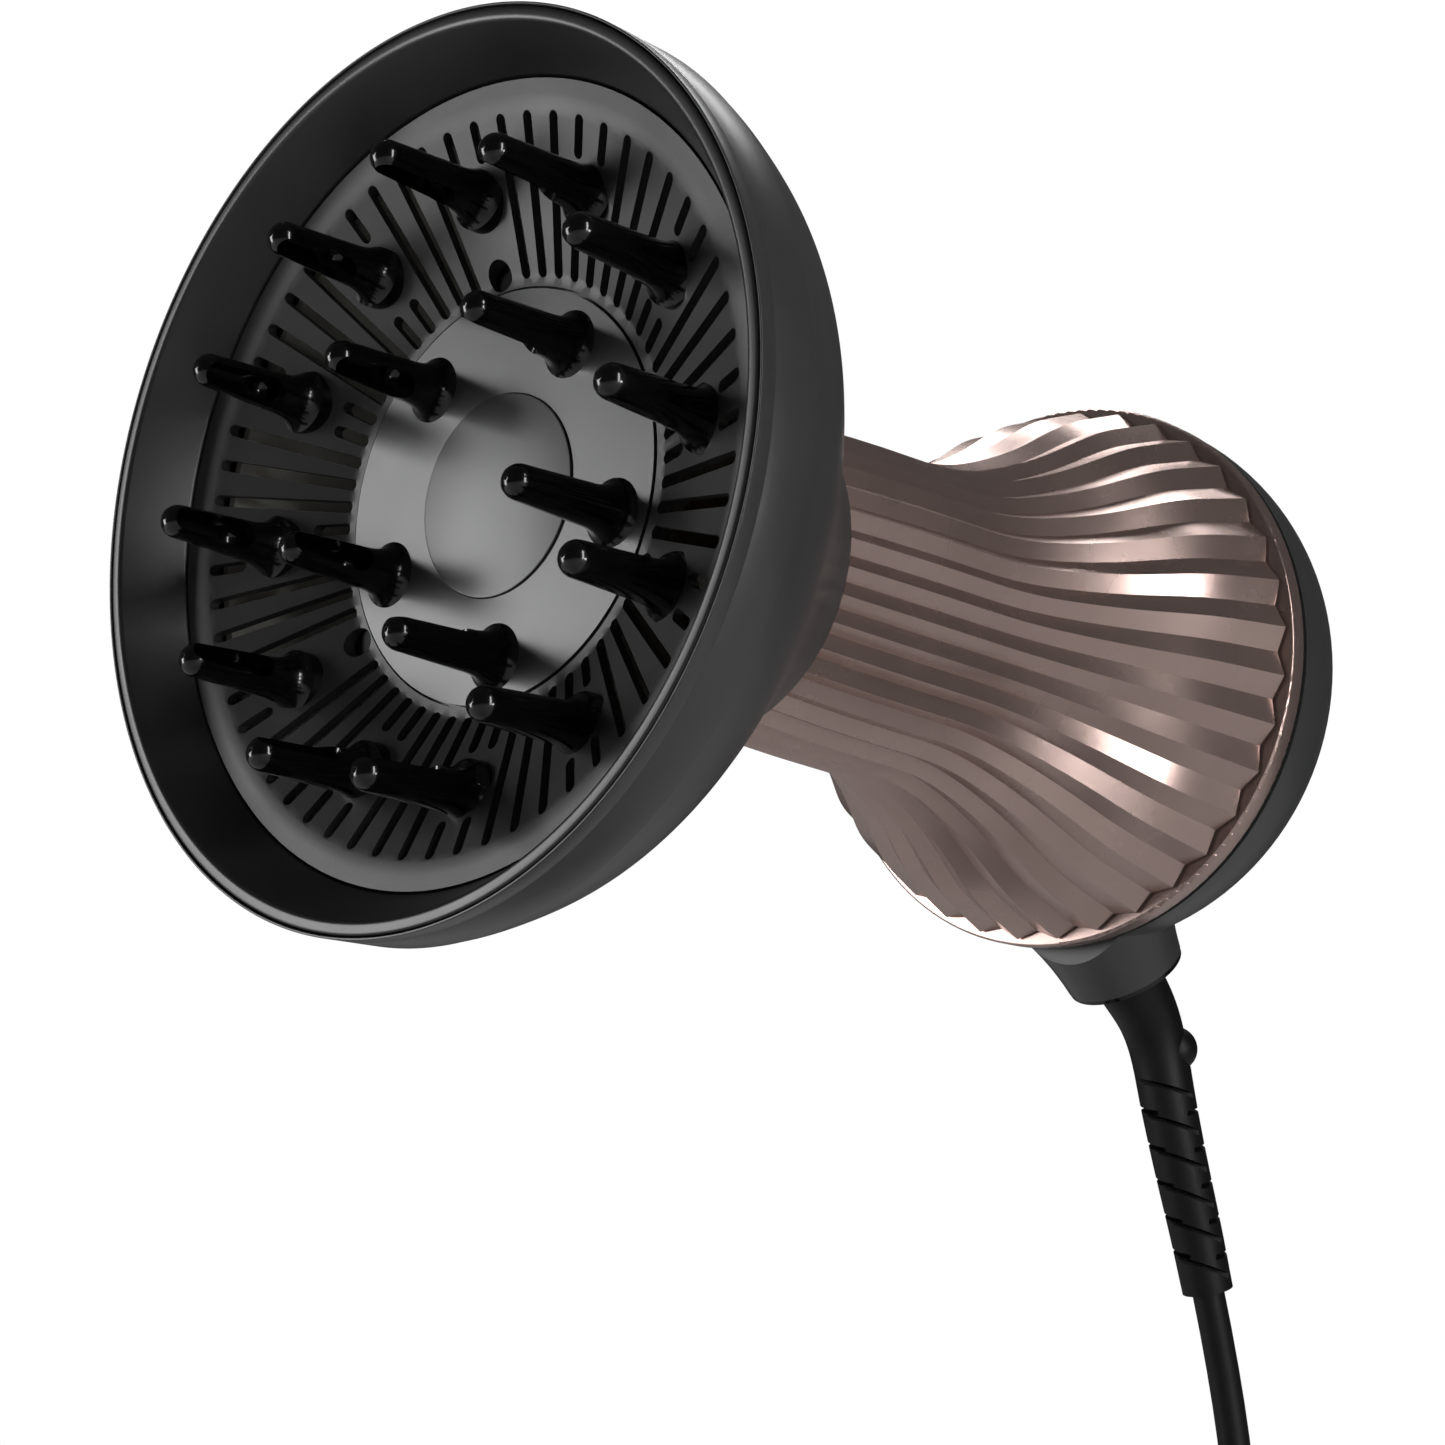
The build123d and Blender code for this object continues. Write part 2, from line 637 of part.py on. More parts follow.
def rear_ring():
    """The grey domed ring with its spigot, the fan's ledge and the lead's collar."""
    outer = dome_arc(0, 0, dome_angle(INLET_R, 0))
    low = math.degrees(math.asin(RING_WALL / (DOME_LENGTH - RING_WALL)))
    inner = dome_arc(RING_WALL, low, dome_angle(INLET_R, RING_WALL))
    spigot_in = SPIGOT_OUT_R - SPIGOT_WALL
    base = Polyline(
        outer @ 0, (SPIGOT_OUT_R, at(RING_START)), (SPIGOT_OUT_R, at(SPIGOT_START)),
        (spigot_in, at(SPIGOT_START)), (spigot_in, at(RING_START + RING_WALL)), inner @ 0,
    )
    ring = revolve(make_face([outer, Line(outer @ 1, inner @ 1), inner, base]), Axis.Y)
    dome = revolve(
        make_face([outer, Polyline(outer @ 1, (0, (outer @ 1).Y), (0, at(RING_START)), outer @ 0)]),
        Axis.Y,
    )
    ledge = rod(RING_R, LEDGE_DEPTH, LEDGE_DEPTH + LEDGE_T) & dome
    ledge = ledge - rod(FAN_R + 1, 0, DOME_LENGTH + RING_START)
    hole = below(HOUSING_SCREW_R, rod(SCREW_R + SCREW_CLEARANCE, 0, LEDGE_DEPTH + LEDGE_T))
    collar = loft([
        along_collar(-COLLAR_LENGTH) * Circle(COLLAR_ROOT_R),
        along_collar(-COLLAR_LENGTH / 2) * Circle((COLLAR_R + COLLAR_ROOT_R) / 2 - 0.8),
        along_collar(0) * Circle(COLLAR_R),
    ])
    hollow = revolve(
        make_face([dome_arc(RING_WALL, 0, 90), Polyline(
            (RING_R - DOME_RISE, at(RING_START) + DOME_LENGTH - RING_WALL),
            (0, at(RING_START) + DOME_LENGTH - RING_WALL), (0, at(SPIGOT_START)),
            (RING_R - RING_WALL, at(SPIGOT_START)), (RING_R - RING_WALL, at(RING_START)),
        )]),
        Axis.Y,
    )
    behind = rod(2 * RING_R, RING_START, 2 * RING_START) - rod(INLET_R, 0, 2 * RING_START)
    ring = ring + ledge - ring_of(hole, HOUSING_SCREW_ANGLES) + ((collar - hollow) & behind)
    return ring - collar_disc(COLLAR_BORE_R, -COLLAR_LENGTH / 2 - 1, 0)


def grille_slots():
    """Radial slots of the filter cap, straight below the axis and turned round."""
    cuts = []
    for inner_r, outer_r, every in GRILLE_BANDS:
        middle = Pos(0, -(inner_r + outer_r) / 2)
        shape = middle * SlotOverall(outer_r - inner_r, GRILLE_W, rotation=90)
        one = lying(shape, RING_START, RING_START + 2 * DOME_LENGTH)
        count = GRILLE_SLOTS // every
        cuts += ring_of(one, [360 / count * (index + 0.5) for index in range(count)])
    return cuts


def inlet_cap():
    """The domed filter cap that pulls off rearwards."""
    edge_r = INLET_R - CAP_GAP
    skirt_in = edge_r - CAP_WALL
    outer = dome_arc(0, dome_angle(edge_r, 0), 90)
    inner = dome_arc(CAP_WALL, dome_angle(skirt_in, CAP_WALL), 90)
    top = at(RING_START) + DOME_LENGTH
    rim = Polyline(inner @ 0, (skirt_in, at(CAP_SKIRT_START)), (edge_r, at(CAP_SKIRT_START)), outer @ 0)
    middle = Polyline(outer @ 1, (0, top), (0, top - CAP_WALL), inner @ 1)
    return revolve(make_face([outer, middle, inner, rim]), Axis.Y) - grille_slots()


def filter_mesh():
    """The framed filter disc inside the cap."""
    radius = INLET_R - CAP_GAP - CAP_WALL - FIT
    inner = radius - FILTER_RIM_W
    front, back = FILTER_DEPTH, FILTER_DEPTH + FILTER_RIM_T
    return turned(
        (0, front), (inner, front), (inner, front - FILTER_T), (radius, front - FILTER_T),
        (radius, back - FILTER_T), (inner, back - FILTER_T), (inner, front + FILTER_T), (0, front + FILTER_T),
    )


# Fan, motor and heater, in line inside the body.


def fan_space(grown):
    """The fan tube's inner space, grown outwards by a wall."""
    curve = Spline(
        (FAN_R + grown, at(FAN_STRAIGHT)), (SLEEVE_R + FIT + grown, at(FAN_NECK_START)),
        tangents=((0, -1), (0, -1)),
    )
    edge = Polyline(
        curve @ 1, (SLEEVE_R + FIT + grown, at(FAN_NECK_END)), (0, at(FAN_NECK_END)),
        (0, at(LEDGE_DEPTH)), (FAN_R + grown, at(LEDGE_DEPTH)), curve @ 0,
    )
    return revolve(make_face([curve, edge]), Axis.Y)


def fan_housing():
    """The fan tube with its flange, guide vanes and motor cup."""
    whole = fan_space(FAN_WALL)
    flange = turned(
        (FAN_R + FAN_WALL / 2, LEDGE_DEPTH - LEDGE_T), (FLANGE_R, LEDGE_DEPTH - LEDGE_T),
        (FLANGE_R, LEDGE_DEPTH), (FAN_R + FAN_WALL / 2, LEDGE_DEPTH),
    )
    pilot_end = LEDGE_DEPTH - LEDGE_T - SCREW_LENGTH / 2
    boss = below(HOUSING_SCREW_R, rod(SCREW_R + BOSS_WALL, pilot_end, LEDGE_DEPTH)) - fan_space(FAN_WALL / 2)
    pilot = below(HOUSING_SCREW_R, rod(SCREW_R + PILOT_CLEARANCE, pilot_end, LEDGE_DEPTH))
    cup_in = MOTOR_R + CUP_GAP
    floor = MOTOR_START - CUP_GAP
    cup = rod(cup_in + CUP_WALL, floor - CUP_WALL, MOTOR_END) - rod(cup_in, floor, MOTOR_END)
    cup = cup - rod(SHAFT_R + CUP_WALL, 0, floor)
    vane = Pos(0, at((VANE_START + VANE_END) / 2), -(cup_in + FAN_R) / 2 - 1) * Box(
        VANE_T, VANE_END - VANE_START, FAN_R - cup_in
    )
    vanes = ring_of(vane & whole, [360 / VANES * (index + 0.5) for index in range(VANES)])
    screw_hole = Pos(MOTOR_SCREW_SPREAD) * rod(MOTOR_SCREW_R + SCREW_CLEARANCE, 0, MOTOR_END)
    housing = whole - fan_space(0) + flange + ring_of(boss, HOUSING_SCREW_ANGLES) + cup + vanes
    housing = housing - ring_of(pilot, HOUSING_SCREW_ANGLES)
    return housing - [screw_hole, round_axis(screw_hole, 180)]


def housing_screws():
    """Three screws from the inlet side through the ledge into the fan housing."""
    length = LEDGE_T + LEDGE_T + SCREW_LENGTH / 2 - 1
    one = turned(
        (0, LEDGE_DEPTH + LEDGE_T + SCREW_HEAD_T), (SCREW_HEAD_R, LEDGE_DEPTH + LEDGE_T + SCREW_HEAD_T),
        (SCREW_HEAD_R, LEDGE_DEPTH + LEDGE_T), (SCREW_R, LEDGE_DEPTH + LEDGE_T),
        (SCREW_R, LEDGE_DEPTH + LEDGE_T - length), (0, LEDGE_DEPTH + LEDGE_T - length),
    )
    return ring_of(below(HOUSING_SCREW_R, one), HOUSING_SCREW_ANGLES)


def motor():
    """The motor's can, bored for its shaft and drilled for two screws."""
    hole = Pos(MOTOR_SCREW_SPREAD) * rod(MOTOR_SCREW_R + PILOT_CLEARANCE, MOTOR_START, MOTOR_START + 5)
    can = rod(MOTOR_R, MOTOR_START, MOTOR_END) - rod(SHAFT_R + SHAFT_CLEARANCE, 0, MOTOR_END)
    return can - [hole, round_axis(hole, 180)]


def motor_screws():
    """Two screws that hold the motor in its cup."""
    head = MOTOR_START - CUP_GAP - CUP_WALL
    one = Pos(MOTOR_SCREW_SPREAD) * screw(MOTOR_SCREW_HEAD_R, 1.4, MOTOR_SCREW_R, head, 5.5)
    return [one, round_axis(one, 180)]


def motor_shaft():
    """The shaft that carries the impeller."""
    return rod(SHAFT_R, SHAFT_START, IMPELLER_END - 1)


def impeller():
    """The axial fan: a hub with pitched blades."""
    hub = rod(IMPELLER_HUB_R, IMPELLER_START, IMPELLER_END) - rod(SHAFT_R, 0, IMPELLER_END - 1)
    middle = (IMPELLER_START + IMPELLER_END) / 2
    reach = FAN_R - TIP_CLEARANCE
    chord = (IMPELLER_END - IMPELLER_START) / math.cos(math.radians(BLADE_TILT))
    root = IMPELLER_HUB_R - 1.5
    blade = Pos(0, at(middle), -(root + reach + 2) / 2) * Rot(0, 0, BLADE_TILT) * Box(
        BLADE_T, chord, reach + 2 - root
    )
    swept = rod(reach, IMPELLER_START, IMPELLER_END) - rod(root, 0, IMPELLER_END)
    return hub + ring_of(blade & swept, [360 / BLADES * index for index in range(BLADES)])


def heater_sleeve():
    """The heat-proof tube round the heater."""
    inner = SLEEVE_R - SLEEVE_WALL
    return turned((inner, SLEEVE_START), (SLEEVE_R, SLEEVE_START), (SLEEVE_R, SLEEVE_END), (inner, SLEEVE_END))


def coil_rings(grown):
    """The heater's turns, two to a row, each grown by a clearance."""
    rings = []
    for row in range(COIL_ROWS):
        for radius in COIL_RADII:
            turn = Torus(radius, COIL_WIRE_R + grown)
            rings.append(Pos(0, at(COIL_FIRST + COIL_PITCH * row), 0) * Rot(90, 0, 0) * turn)
    return rings


def mica_frame():
    """Two crossed mica boards, drilled where the heater's turns pass."""
    width = 2 * (SLEEVE_R - SLEEVE_WALL - PARTING)
    length = MICA_END - MICA_START
    middle = Pos(0, at((MICA_START + MICA_END) / 2), 0)
    boards = middle * Box(width, length, BOARD_T) + middle * Box(BOARD_T, length, width)
    return boards - coil_rings(PARTING)


THERMOSTAT = (4.0, 9.0, 7.0)
THERMOSTAT_DEPTH = MICA_START + 26.0
FUSE_R = 1.3
FUSE_START = MICA_START + 32.0
FUSE_END = FUSE_START + 11.0


def thermostat():
    """The cut-out that stands in the corner of the crossed boards."""
    wide, long, high = THERMOSTAT
    half = BOARD_T / 2
    return Pos(half + wide / 2, at(THERMOSTAT_DEPTH), half + high / 2) * Box(wide, long, high)


def thermal_fuse():
    """The one-shot fuse in the opposite corner of the boards."""
    offset = BOARD_T / 2 + FUSE_R + FIT
    return Pos(-offset, 0, -offset) * rod(FUSE_R, FUSE_START, FUSE_END)


# Controls: a panel let into the pleats, a slider and a sprung button.


def control_place():
    """The panel's own frame: its origin on its face, Y rearwards and Z outwards."""
    front = ridge_radius(PANEL_START)
    rear = ridge_radius(PANEL_START + PANEL_LENGTH)
    tilt = math.degrees(math.atan((rear - front) / PANEL_LENGTH))
    middle = at(PANEL_START + PANEL_LENGTH / 2)
    return Pos(0, middle, (front + rear) / 2 - PANEL_SUNK) * Rot(tilt, 0, 0)


CONTROL_PLACE = control_place()


def block(wide, long, low, high, place=0.0):
    """A box in the panel's frame, between two heights."""
    return Pos(0, place, (low + high) / 2) * Box(wide, long, high - low)


def stud(radius, low, high, place):
    """A round bar in the panel's frame, between two heights."""
    return Pos(0, place, (low + high) / 2) * Cylinder(radius, high - low)


def control_panel():
    """The panel with the slider's slot and the button's hole, hollow from below."""
    plate = extrude(SlotOverall(PANEL_LENGTH, PANEL_W, rotation=90), -PANEL_DEPTH)
    hollow = SlotOverall(PANEL_LENGTH - 2 * PANEL_RIM, PANEL_W - 2 * PANEL_RIM, rotation=90)
    cavity = Pos(0, 0, -PANEL_SKIN) * extrude(hollow, -PANEL_DEPTH)
    slot_l = STEM_L + SLIDER_TRAVEL + 2 * RUNNING
    slider_slot = block(
        STEM_W + 2 * RUNNING, slot_l, -PANEL_DEPTH, PANEL_SKIN, SLIDER_REST + SLIDER_TRAVEL / 2
    )
    hole = stud(BUTTON_R + RUNNING, -PANEL_DEPTH, PANEL_SKIN, BUTTON_PLACE)
    return CONTROL_PLACE * (plate - cavity - slider_slot - hole)


def speed_slider():
    """The slider: a ribbed thumb piece and its stem."""
    thumb = block(SLIDER_W, SLIDER_L, SLIDER_LIFT, SLIDER_LIFT + SLIDER_H, SLIDER_REST)
    thumb = fillet(thumb.edges().filter_by(Axis.Z), 1.5)
    thumb = fillet(thumb.faces().sort_by(Axis.Z)[-1].edges(), 0.4)
    ribs = [
        block(SLIDER_W, 0.7, SLIDER_H - 0.4, 2 * SLIDER_H, SLIDER_REST + 1.8 * index)
        for index in range(-2, 3)
    ]
    stem = block(STEM_W, STEM_L, -STEM_DEPTH, SLIDER_LIFT + SLIDER_H / 2, SLIDER_REST)
    return CONTROL_PLACE * (thumb - ribs + stem)


def cool_shot_button():
    """The sprung round button with its retaining flange."""
    top = fillet(stud(BUTTON_R, -PANEL_SKIN, BUTTON_PROUD, BUTTON_PLACE).faces().sort_by(Axis.Z)[-1].edges(), 0.5)
    flange = stud(
        BUTTON_R + BUTTON_FLANGE, -PANEL_SKIN - BUTTON_FLANGE - FIT, -PANEL_SKIN - FIT, BUTTON_PLACE
    )
    neck = stud(BUTTON_R, -PANEL_SKIN - BUTTON_FLANGE, -PANEL_SKIN + FIT, BUTTON_PLACE)
    return CONTROL_PLACE * (top + neck + flange)


def switch_board():
    """The small circuit board that closes the panel's underside."""
    board = SlotOverall(PANEL_LENGTH - PANEL_RIM, PANEL_W - PANEL_RIM, rotation=90)
    return CONTROL_PLACE * Pos(0, 0, -PANEL_DEPTH) * extrude(board, -1.0)


def slide_switch():
    """The slide switch under the slider."""
    wide = PANEL_W - 2 * PANEL_RIM - 2 * RUNNING
    top = -STEM_DEPTH - RUNNING
    return CONTROL_PLACE * block(wide, SLIDER_L + 2, -PANEL_DEPTH, top, SLIDER_REST + SLIDER_TRAVEL / 2)


def push_switch():
    """The push switch under the button."""
    top = -PANEL_SKIN - BUTTON_FLANGE - BUTTON_TRAVEL - 2 * RUNNING
    side = 2 * BUTTON_R
    return CONTROL_PLACE * block(side, side, -PANEL_DEPTH, top, BUTTON_PLACE)


# Main board and its leads, between the fan tube and the bulb.

MAIN_BOARD = (24.0, 16.0, 1.6)
MAIN_BOARD_START = BODY_END - 14.0
LEAD_R = 0.75


def main_board_top():
    """Height of the board's inner face, just outside the fan tube."""
    return -(FAN_R + FAN_WALL + FIT)


def control_board():
    """The main circuit board under the fan tube."""
    wide, long, thick = MAIN_BOARD
    return Pos(0, at(MAIN_BOARD_START) + long / 2, main_board_top() - thick / 2) * Box(wide, long, thick)


def board_parts():
    """The power switch, a choke and a capacitor on the main board."""
    face = main_board_top() - MAIN_BOARD[2]
    start = at(MAIN_BOARD_START)
    return [
        Pos(-6, start + 5, face - 1.5) * Box(7, 5, 3),
        Pos(2, start + 7, face - 1.25) * Box(5, 6, 2.5),
        Pos(7, start + 6, face - 1.2) * Box(2.4, 5, 2.4),
    ]


def supply_leads():
    """Two insulated leads from the strain relief to the main board."""
    inner = along_collar(-CAP_PLUG_LENGTH - RELIEF_ANCHOR_T - FIT).origin
    board = Vector(0, at(MAIN_BOARD_START) + MAIN_BOARD[1], main_board_top() - MAIN_BOARD[2] / 2)
    leads = []
    for side in (-1.6, 1.6):
        points = [
            Vector(side, inner.Y, inner.Z),
            Vector(side, inner.Y - 3.2, inner.Z + 3.9),
            Vector(side, board.Y + 6, board.Z),
            Vector(side, board.Y, board.Z),
        ]
        path = FilletPolyline(*points, radius=2.5)
        leads.append(sweep(Plane(origin=path @ 0, z_dir=path % 0) * Circle(LEAD_R), path=path))
    return leads


# Lead outlet: the collar's cap, the moulded strain relief, and the mains cord.


def collar_cap():
    """The black plate that closes the collar and holds the strain relief."""
    plate = collar_disc(CAP_PLATE_R, 0, CAP_PLATE_T)
    plug = collar_disc(COLLAR_BORE_R - FIT, -CAP_PLUG_LENGTH, 0)
    return plate + plug - collar_disc(RELIEF_NECK_R + FIT, -2 * CAP_PLUG_LENGTH, 2 * CAP_PLATE_T)


def relief_line():
    """The curve that the strain relief follows from the collar's cap to the cord."""
    start = along_collar(CAP_PLATE_T)
    lean = math.radians(RELIEF_END_LEAN)
    end = along_collar(0).origin
    points = [start.origin] + [end + Vector(0, back, up) for back, up in RELIEF_ROUTE]
    return Spline(*points, tangents=(start.z_dir, Vector(0, math.sin(lean), -math.cos(lean))))


def relief_radius(distance, length):
    """Radius of the relief: a fast taper in the sleeve, then a slow one."""
    sleeve = length - GROOVE_LAST - (GROOVES - 0.5) * GROOVE_PITCH
    if distance < sleeve:
        return RELIEF_TOP_R + (RELIEF_MID_R - RELIEF_TOP_R) * math.sin(math.pi / 2 * distance / sleeve)
    return RELIEF_MID_R + (RELIEF_END_R - RELIEF_MID_R) * (distance - sleeve) / (length - sleeve)


def relief_plane(line, part, turn=0.0):
    """A plane across the relief, its X turned about the relief's axis."""
    return Plane(origin=line @ part, x_dir=(1, 0, 0), z_dir=line % part).rotated((0, 0, turn))


def strain_relief():
    """One moulded piece: an anchor, a tapered sleeve and a grooved tail."""
    line = relief_line()
    length = line.length
    steps = [index / 10 for index in range(11)]
    sections = [relief_plane(line, part) * Circle(relief_radius(part * length, length)) for part in steps]
    relief = loft(sections)
    for index in range(2 * GROOVES + 1):
        distance = length - GROOVE_LAST - (GROOVES - 0.5 - index / 2) * GROOVE_PITCH
        plane = relief_plane(line, distance / length, GROOVE_TURN + 90 * (index % 2 == 0))
        radius = relief_radius(distance, length)
        for side in (-1, 1):
            cut = Pos(side * (2 * radius - GROOVE_DEPTH), 0, 0) * Box(2 * radius, 4 * radius, GROOVE_W)
            relief = relief - plane * cut
    plane = relief_plane(line, STUD_PLACE, GROOVE_TURN)
    radius = relief_radius(STUD_PLACE * length, length)
    relief = relief + plane * Pos(radius + STUD_PROUD - STUD_R, 0, 0) * Sphere(STUD_R)
    neck = collar_disc(RELIEF_NECK_R, -CAP_PLUG_LENGTH - FIT, CAP_PLATE_T + FIT)
    anchor = collar_disc(RELIEF_ANCHOR_R, -CAP_PLUG_LENGTH - RELIEF_ANCHOR_T, -CAP_PLUG_LENGTH - FIT)
    return relief + neck + anchor


def bend_radii(points):
    """The largest even arc at each corner: 0.45 of its shorter run over tan(half the turn)."""
    radii = []
    for before, corner, after in zip(points, points[1:], points[2:]):
        one, two = Vector(*corner) - Vector(*before), Vector(*after) - Vector(*corner)
        half = math.radians(one.get_angle(two)) / 2
        radii.append(0.45 * min(one.length, two.length) / math.tan(half))
    return radii


def cord_tube(name, points):
    """A round cord along straight runs joined by arcs."""
    radii = bend_radii(points)
    path = FilletPolyline(*points, radius=radii)
    tube = sweep(Plane(origin=path @ 0, z_dir=path % 0) * Circle(CORD_D / 2), path=path)
    section = math.pi * CORD_D**2 / 4
    print(name, "radii", [round(r, 1) for r in radii], "length", round(path.length, 1),
          "volume over section times length", round(tube.volume / (section * path.length), 4))
    return tube


def bundle(grown, lift):
    """The section of the tied coil: three turns, two on them and one on top."""
    low = FLOOR_Z + CORD_D / 2 + lift
    centres = [
        (COIL_R - CORD_D, low), (COIL_R + CORD_D, low),
        (COIL_R, FLOOR_Z + CORD_D / 2 + TIE_T + 2 * TURN_LIFT),
    ]
    edges = []
    for radius, height in centres:
        edges += (Pos(radius, height) * Circle(CORD_D / 2 + grown)).edges()
    return Plane.XZ * make_hull(edges)


def coil_tie():
    """The strap round the coil, on the side nearer the head."""
    band = bundle(TIE_T, TIE_T) - bundle(0, TIE_T)
    arc = math.degrees(TIE_W / COIL_R)
    return Pos(*COIL_CENTRE, 0) * Rot(0, 0, -90 - arc / 2) * revolve(band, Axis.Z, arc)


def cord_coil():
    """The outer shape of the tied coil of spare cord."""
    arc = math.degrees(TIE_W / COIL_R)
    coil = Pos(*COIL_CENTRE, 0) * revolve(bundle(0, 0), Axis.Z)
    tied = Pos(*COIL_CENTRE, 0) * Rot(0, 0, -90 - arc / 2) * revolve(bundle(TIE_T, TIE_T), Axis.Z, arc)
    return coil - tied + (coil & (Pos(*COIL_CENTRE, 0) * Rot(0, 0, -90 - arc / 2)
                                  * revolve(bundle(0, TIE_T), Axis.Z, arc)))


def beyond(tube, radius):
    """The stretch of a tube farther than a radius from the middle of the coil."""
    inside = Pos(*COIL_CENTRE, FLOOR_Z) * Cylinder(radius, 8 * CORD_D)
    return (tube - inside).solids().sort_by(SortBy.VOLUME)[-1]


def cord():
    """The mains cord from the strain relief down to the outermost turn of the coil."""
    return beyond(cord_tube("cord", CORD_ROUTE), COIL_R + 1.5 * CORD_D + FIT)


def cord_tail():
    """The short end of the cord from the coil's top turn to the plug."""
    return beyond(cord_tube("cord_tail", TAIL_ROUTE), COIL_R + 0.75 * CORD_D)


def plug_plane():
    """The plane across the plug at the cord's end, facing the way the pins point."""
    end = Vector(*TAIL_ROUTE[-1])
    return Plane(origin=end, x_dir=(1, 0, 0), z_dir=(0, -1, 0))


def plug_body():
    """The flat two-pin plug with its sleeve."""
    plane = plug_plane()
    sleeve = loft([
        plane * Circle(PLUG_SLEEVE_R - 1.2),
        plane.offset(PLUG_SLEEVE) * Circle(PLUG_SLEEVE_R),
    ])
    shoulder = loft([
        plane.offset(PLUG_SLEEVE) * RectangleRounded(2 * PLUG_SLEEVE_R + 4, 2 * PLUG_SLEEVE_R, PLUG_SLEEVE_R - 0.5),
        plane.offset(PLUG_SLEEVE + PLUG_LENGTH * 0.55) * RectangleRounded(PLUG_W, PLUG_T, PLUG_T * 0.35),
    ])
    head = extrude(
        plane.offset(PLUG_SLEEVE + PLUG_LENGTH * 0.55) * RectangleRounded(PLUG_W, PLUG_T, PLUG_T * 0.35),
        PLUG_LENGTH * 0.45,
    )
    holes = [pin_bar(side, PIN_ROOT_R, -PIN_ROOT, 0) for side in (-1, 1)]
    return sleeve + shoulder + head - holes


def pin_bar(side, radius, start, end):
    """A round bar on one pin's axis, between two distances from the plug's face."""
    plane = plug_plane().offset(PLUG_SLEEVE + PLUG_LENGTH + start)
    return extrude(plane * Pos(side * PIN_SPACING / 2, 0) * Circle(radius), end - start)


def plug_pins():
    """The plug's two round pins with rounded ends and thinner roots."""
    pins = []
    for side in (-1, 1):
        bar = pin_bar(side, PIN_R, 0, PIN_LENGTH)
        rounded = fillet(bar.faces().sort_by(Axis.Y)[0].edges(), 1.0)
        pins.append(rounded + pin_bar(side, PIN_ROOT_R, -PIN_ROOT, 0))
    return pins


PIECES = (
    head_shell, bowl_liner, slot_plate, outer_fingers, inner_fingers, centre_dish, centre_disc,
    plate_screws, air_guide, pleated_body, accent_ring, gasket_ring, rear_ring, inlet_cap,
    filter_mesh, fan_housing, housing_screws, motor, motor_screws, motor_shaft, impeller,
    heater_sleeve, mica_frame, thermostat, thermal_fuse, control_panel, speed_slider,
    cool_shot_button, switch_board, slide_switch, push_switch, control_board, board_parts,
    supply_leads, collar_cap, strain_relief, cord, cord_coil, coil_tie, cord_tail, plug_body,
    plug_pins,
)

for piece in PIECES:
    write(piece.__name__, piece())
write("heater_coils", coil_rings(0))
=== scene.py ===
import json
import math
import bmesh
import bpy
import numpy as np
from mathutils import Matrix, Vector

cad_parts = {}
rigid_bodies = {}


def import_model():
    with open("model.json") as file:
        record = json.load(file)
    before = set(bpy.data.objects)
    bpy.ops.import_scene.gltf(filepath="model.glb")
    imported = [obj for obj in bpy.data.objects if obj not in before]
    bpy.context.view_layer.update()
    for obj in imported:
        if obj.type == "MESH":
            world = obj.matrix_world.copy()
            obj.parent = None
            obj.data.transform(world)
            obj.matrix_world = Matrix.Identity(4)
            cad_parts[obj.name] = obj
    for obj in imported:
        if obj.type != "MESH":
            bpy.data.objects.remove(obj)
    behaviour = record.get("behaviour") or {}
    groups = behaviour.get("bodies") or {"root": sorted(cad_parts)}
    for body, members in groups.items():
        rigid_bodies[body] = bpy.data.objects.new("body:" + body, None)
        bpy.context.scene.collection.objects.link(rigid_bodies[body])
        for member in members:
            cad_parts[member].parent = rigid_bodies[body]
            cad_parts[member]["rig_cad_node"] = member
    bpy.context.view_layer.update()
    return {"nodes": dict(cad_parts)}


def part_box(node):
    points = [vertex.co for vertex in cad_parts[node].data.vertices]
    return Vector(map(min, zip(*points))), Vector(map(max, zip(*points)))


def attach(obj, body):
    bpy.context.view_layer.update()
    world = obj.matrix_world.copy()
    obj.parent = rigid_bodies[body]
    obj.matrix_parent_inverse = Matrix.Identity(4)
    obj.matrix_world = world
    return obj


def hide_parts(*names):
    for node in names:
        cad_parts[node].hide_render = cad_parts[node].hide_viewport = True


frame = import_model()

# Camera and studio. The dryer hangs level in a white studio, seen from in front, to its
# right and a little below. Soft boxes give the long highlights, and the floor is out of view.
MM = 0.001
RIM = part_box("bowl_liner")[0].y
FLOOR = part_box("cord_coil")[0].z
EYE = Vector((0.329, RIM - 0.2902, -0.1473))
LOOK = Vector((-0.6440, 0.7301, 0.2288))
SENSOR = 36.0
LENS = 67.3


def srgb(code):
    """Linear colour with alpha 1 from an sRGB hex value."""
    parts = [int(code[i:i + 2], 16) / 255 for i in (1, 3, 5)]
    linear = [p / 12.92 if p <= 0.04045 else ((p + 0.055) / 1.055) ** 2.4 for p in parts]
    return (*linear, 1.0)


def aim(thing, place, target, roll=0.0):
    """Puts a camera or lamp at a place, looking at a target."""
    turn = (Vector(target) - Vector(place)).to_track_quat("-Z", "Y").to_matrix().to_4x4()
    thing.matrix_world = Matrix.Translation(place) @ turn @ Matrix.Rotation(roll, 4, "Z")


camera = bpy.data.objects.new("camera", bpy.data.cameras.new("camera"))
bpy.context.scene.collection.objects.link(camera)
camera.data.sensor_width = SENSOR
camera.data.lens = LENS
camera.data.clip_start = 0.01
aim(camera, EYE, EYE + LOOK)
bpy.context.scene.camera = camera
bpy.context.scene.view_settings.view_transform = "Standard"
bpy.context.scene.view_settings.look = "None"


